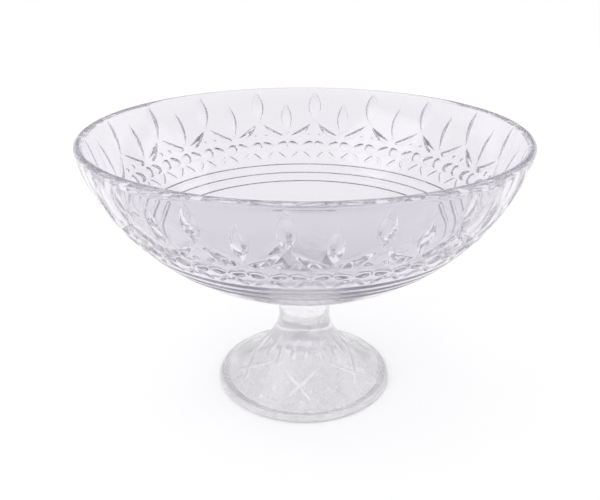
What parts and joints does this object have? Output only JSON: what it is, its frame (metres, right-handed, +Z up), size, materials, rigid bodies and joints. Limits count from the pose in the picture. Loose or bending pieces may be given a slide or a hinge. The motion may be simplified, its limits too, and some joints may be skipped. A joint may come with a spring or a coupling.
{
  "type": "footed fruit bowl",
  "caption": "Clear pressed-glass fruit bowl: a wide round bowl with wedge, chevron and ring cuts outside, bonded on a flared pedestal foot that is hollow underneath.",
  "frame": {"origin": "centre of the foot's base ring, on the surface that the bowl stands on", "axes": "+Z up the axis of the bowl and foot, -Y is the front"},
  "size_m": [0.2804, 0.2804, 0.1798],
  "materials": {
    "clear_glass": "fire-polished clear pressed glass",
    "clear_bond": "clear cured acrylic bond"
  },
  "bodies": {
    "root": {"bowl": "clear_glass", "pedestal_foot": "clear_glass", "bond_disc": "clear_bond"}
  },
  "joints": []
}
